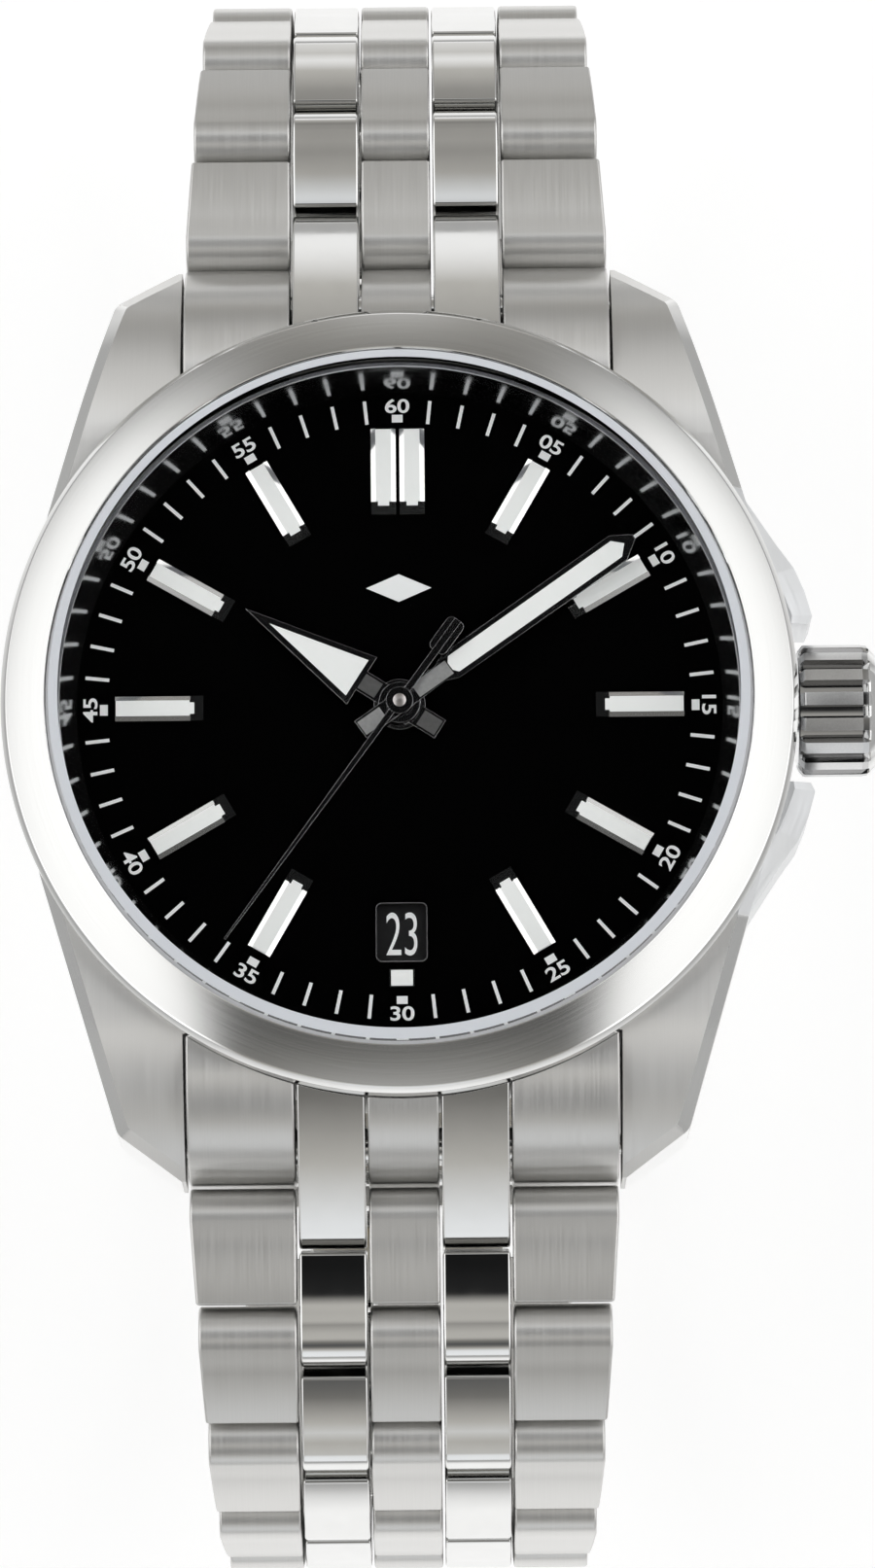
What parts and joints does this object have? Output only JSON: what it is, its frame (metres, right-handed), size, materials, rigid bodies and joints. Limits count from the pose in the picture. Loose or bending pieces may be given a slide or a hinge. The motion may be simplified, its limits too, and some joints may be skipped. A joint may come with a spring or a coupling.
{
  "type": "wristwatch",
  "caption": "Analogue wristwatch with date window, round steel case and a five-piece link bracelet closed by a folding clasp.",
  "frame": {"origin": "centre of the case back's outer face, which rests on the wrist", "axes": "+Z out through the dial, +Y towards twelve o'clock, +X towards the crown"},
  "size_m": [0.0402, 0.076, 0.0451],
  "materials": {
    "brushed_steel": "brushed stainless steel",
    "polished_steel": "mirror polished stainless steel",
    "dial_black": "gloss black lacquer",
    "lume": "white luminous compound",
    "sapphire": "clear polished sapphire",
    "seal": "black rubber",
    "movement_plate": "plated brass",
    "gear_brass": "polished brass",
    "rotor_steel": "grained heavy metal",
    "spacer": "moulded plastic",
    "date_print": "black disc with printed numerals"
  },
  "bodies": {
    "case": {"mid_case": "brushed_steel", "bezel": "brushed_steel", "crystal": "sapphire", "crystal_gasket": "spacer", "rehaut_ring": "brushed_steel", "dial": "dial_black", "hour_markers": "polished_steel", "marker_lume": "lume", "movement_ring": "spacer", "main_plate": "movement_plate", "train_bridge": "movement_plate", "movement_screws": "polished_steel", "balance_cock": "movement_plate", "rotor_bearing": "polished_steel", "case_back": "brushed_steel", "case_back_window": "sapphire", "case_back_gasket": "seal", "crown_tube": "polished_steel", "end_link_12": "brushed_steel", "end_link_6": "brushed_steel", "spring_bars": "polished_steel"},
    "seconds": {"seconds_hand": "polished_steel", "fourth_wheel": "polished_steel"},
    "minutes": {"minute_hand": "polished_steel", "centre_wheel": "gear_brass"},
    "hours": {"hour_hand": "polished_steel"},
    "third": {"third_wheel": "gear_brass"},
    "barrel": {"mainspring_barrel": "gear_brass"},
    "balance": {"balance_wheel": "gear_brass"},
    "rotor": {"rotor": "rotor_steel"},
    "date": {"date_disc": "date_print"},
    "crown_seal": {"crown_gasket": "seal"},
    "crown": {"crown": "polished_steel", "winding_stem": "polished_steel"},
    "clasp_cover": {"clasp_cover": "brushed_steel", "clasp_cover_pin": "polished_steel", "clasp_end_pin": "polished_steel"},
    "clasp_middle": {"clasp_middle_blade": "polished_steel"},
    "clasp_base": {"clasp_base_blade": "polished_steel", "clasp_blade_pin": "polished_steel"},
    "clasp_button_left": {"clasp_button_left": "polished_steel"},
    "clasp_button_right": {"clasp_button_right": "polished_steel"},
    "strap_12_1": {"strap_12_row_1": "brushed_steel"},
    "strap_12_2": {"strap_12_row_2": "brushed_steel"},
    "strap_12_3": {"strap_12_row_3": "brushed_steel"},
    "strap_12_4": {"strap_12_row_4": "brushed_steel"},
    "strap_12_5": {"strap_12_row_5": "brushed_steel"},
    "strap_12_6": {"strap_12_row_6": "brushed_steel"},
    "strap_12_7": {"strap_12_row_7": "brushed_steel"},
    "strap_12_8": {"strap_12_row_8": "brushed_steel"},
    "strap_12_9": {"strap_12_row_9": "brushed_steel"},
    "strap_6_1": {"strap_6_row_1": "brushed_steel"},
    "strap_6_2": {"strap_6_row_2": "brushed_steel"},
    "strap_6_3": {"strap_6_row_3": "brushed_steel"},
    "strap_6_4": {"strap_6_row_4": "brushed_steel"},
    "strap_6_5": {"strap_6_row_5": "brushed_steel"},
    "strap_6_6": {"strap_6_row_6": "brushed_steel"},
    "strap_6_7": {"strap_6_row_7": "brushed_steel"},
    "strap_6_8": {"strap_6_row_8": "brushed_steel"},
    "strap_6_9": {"strap_6_row_9": "brushed_steel"}
  },
  "joints": [
    {"name": "seconds_spin", "type": "hinge", "parent": "case", "child": "seconds", "pos_m": [0, 0, 0], "axis": [0, 0, -1], "continuous": true},
    {"name": "minutes_spin", "type": "hinge", "parent": "case", "child": "minutes", "pos_m": [0, 0, 0], "axis": [0, 0, -1], "continuous": true},
    {"name": "hours_spin", "type": "hinge", "parent": "case", "child": "hours", "pos_m": [0, 0, 0], "axis": [0, 0, -1], "continuous": true},
    {"name": "third_spin", "type": "hinge", "parent": "case", "child": "third", "pos_m": [0.00368, -0.00213, 0], "axis": [0, 0, -1], "continuous": true},
    {"name": "barrel_spin", "type": "hinge", "parent": "case", "child": "barrel", "pos_m": [-0.0079, -0.0033, 0], "axis": [0, 0, -1], "continuous": true},
    {"name": "date_spin", "type": "hinge", "parent": "case", "child": "date", "pos_m": [0, 0, 0], "axis": [0, 0, -1], "continuous": true},
    {"name": "balance_swing", "type": "hinge", "parent": "case", "child": "balance", "pos_m": [-0.0016, 0.0086, 0], "axis": [0, 0, 1], "range_deg": [-270, 270], "stiffness_Nm_per_rad": 0.000001},
    {"name": "rotor_spin", "type": "hinge", "parent": "case", "child": "rotor", "pos_m": [0, 0, 0], "axis": [0, 0, 1], "continuous": true},
    {"name": "crown_pull", "type": "slide", "parent": "case", "child": "crown_seal", "axis": [1, 0, 0], "range_m": [0, 0.0015]},
    {"name": "crown_turn", "type": "hinge", "parent": "crown_seal", "child": "crown", "pos_m": [0.0187, 0, 0.0049], "axis": [1, 0, 0], "continuous": true},
    {"name": "strap_12_pin_1", "type": "hinge", "parent": "case", "child": "strap_12_1", "pos_m": [0, 0.023, 0.0022], "axis": [1, 0, 0], "range_deg": [0, 14]},
    {"name": "strap_12_pin_2", "type": "hinge", "parent": "strap_12_1", "child": "strap_12_2", "pos_m": [0, 0.02832, 0.00126], "axis": [1, 0, 0], "range_deg": [0, 27]},
    {"name": "strap_12_pin_3", "type": "hinge", "parent": "strap_12_2", "child": "strap_12_3", "pos_m": [0, 0.03285, -0.00168], "axis": [1, 0, 0], "range_deg": [0, 30]},
    {"name": "strap_12_pin_4", "type": "hinge", "parent": "strap_12_3", "child": "strap_12_4", "pos_m": [0, 0.03563, -0.00631], "axis": [1, 0, 0], "range_deg": [0, 25]},
    {"name": "strap_12_pin_5", "type": "hinge", "parent": "strap_12_4", "child": "strap_12_5", "pos_m": [0, 0.03657, -0.01162], "axis": [1, 0, 0], "range_deg": [0, 22]},
    {"name": "strap_12_pin_6", "type": "hinge", "parent": "strap_12_5", "child": "strap_12_6", "pos_m": [0, 0.03581, -0.01697], "axis": [1, 0, 0], "range_deg": [0, 21]},
    {"name": "strap_12_pin_7", "type": "hinge", "parent": "strap_12_6", "child": "strap_12_7", "pos_m": [0, 0.03353, -0.02187], "axis": [1, 0, 0], "range_deg": [0, 21]},
    {"name": "strap_12_pin_8", "type": "hinge", "parent": "strap_12_7", "child": "strap_12_8", "pos_m": [0, 0.02992, -0.02588], "axis": [1, 0, 0], "range_deg": [0, 22]},
    {"name": "strap_12_pin_9", "type": "hinge", "parent": "strap_12_8", "child": "strap_12_9", "pos_m": [0, 0.02524, -0.02858], "axis": [1, 0, 0], "range_deg": [0, 20]},
    {"name": "strap_6_pin_1", "type": "hinge", "parent": "case", "child": "strap_6_1", "pos_m": [0, -0.023, 0.0022], "axis": [-1, 0, 0], "range_deg": [0, 14]},
    {"name": "strap_6_pin_2", "type": "hinge", "parent": "strap_6_1", "child": "strap_6_2", "pos_m": [0, -0.02832, 0.00126], "axis": [-1, 0, 0], "range_deg": [0, 27]},
    {"name": "strap_6_pin_3", "type": "hinge", "parent": "strap_6_2", "child": "strap_6_3", "pos_m": [0, -0.03285, -0.00168], "axis": [-1, 0, 0], "range_deg": [0, 30]},
    {"name": "strap_6_pin_4", "type": "hinge", "parent": "strap_6_3", "child": "strap_6_4", "pos_m": [0, -0.03563, -0.00631], "axis": [-1, 0, 0], "range_deg": [0, 25]},
    {"name": "strap_6_pin_5", "type": "hinge", "parent": "strap_6_4", "child": "strap_6_5", "pos_m": [0, -0.03657, -0.01162], "axis": [-1, 0, 0], "range_deg": [0, 22]},
    {"name": "strap_6_pin_6", "type": "hinge", "parent": "strap_6_5", "child": "strap_6_6", "pos_m": [0, -0.03581, -0.01697], "axis": [-1, 0, 0], "range_deg": [0, 21]},
    {"name": "strap_6_pin_7", "type": "hinge", "parent": "strap_6_6", "child": "strap_6_7", "pos_m": [0, -0.03353, -0.02187], "axis": [-1, 0, 0], "range_deg": [0, 21]},
    {"name": "strap_6_pin_8", "type": "hinge", "parent": "strap_6_7", "child": "strap_6_8", "pos_m": [0, -0.02992, -0.02588], "axis": [-1, 0, 0], "range_deg": [0, 22]},
    {"name": "strap_6_pin_9", "type": "hinge", "parent": "strap_6_8", "child": "strap_6_9", "pos_m": [0, -0.02524, -0.02858], "axis": [-1, 0, 0], "range_deg": [0, 20]},
    {"name": "clasp_hinge", "type": "hinge", "parent": "strap_12_9", "child": "clasp_cover", "pos_m": [0, 0.02, -0.02989], "axis": [1, 0, 0], "range_deg": [0, 8]},
    {"name": "clasp_cover_fold", "type": "hinge", "parent": "clasp_cover", "child": "clasp_middle", "pos_m": [0, -0.0166, -0.03033], "axis": [1, 0, 0], "range_deg": [0, 80]},
    {"name": "clasp_blade_fold", "type": "hinge", "parent": "clasp_middle", "child": "clasp_base", "pos_m": [0, 0.01, -0.03084], "axis": [-1, 0, 0], "range_deg": [0, 110]},
    {"name": "button_right", "type": "slide", "parent": "clasp_cover", "child": "clasp_button_right", "axis": [-1, 0, 0], "range_m": [0, 0.0005], "stiffness_N_per_m": 400, "springref_m": -0.0003},
    {"name": "button_left", "type": "slide", "parent": "clasp_cover", "child": "clasp_button_left", "axis": [1, 0, 0], "range_m": [0, 0.0005], "stiffness_N_per_m": 400, "springref_m": -0.0003}
  ],
  "couplings": [
    {"joint": "minutes_spin", "follows": "seconds_spin", "ratio": 0.016667},
    {"joint": "hours_spin", "follows": "seconds_spin", "ratio": 0.0013889},
    {"joint": "third_spin", "follows": "seconds_spin", "ratio": -0.13333},
    {"joint": "barrel_spin", "follows": "seconds_spin", "ratio": -0.0022222},
    {"joint": "date_spin", "follows": "seconds_spin", "ratio": 0.000022401}
  ]
}
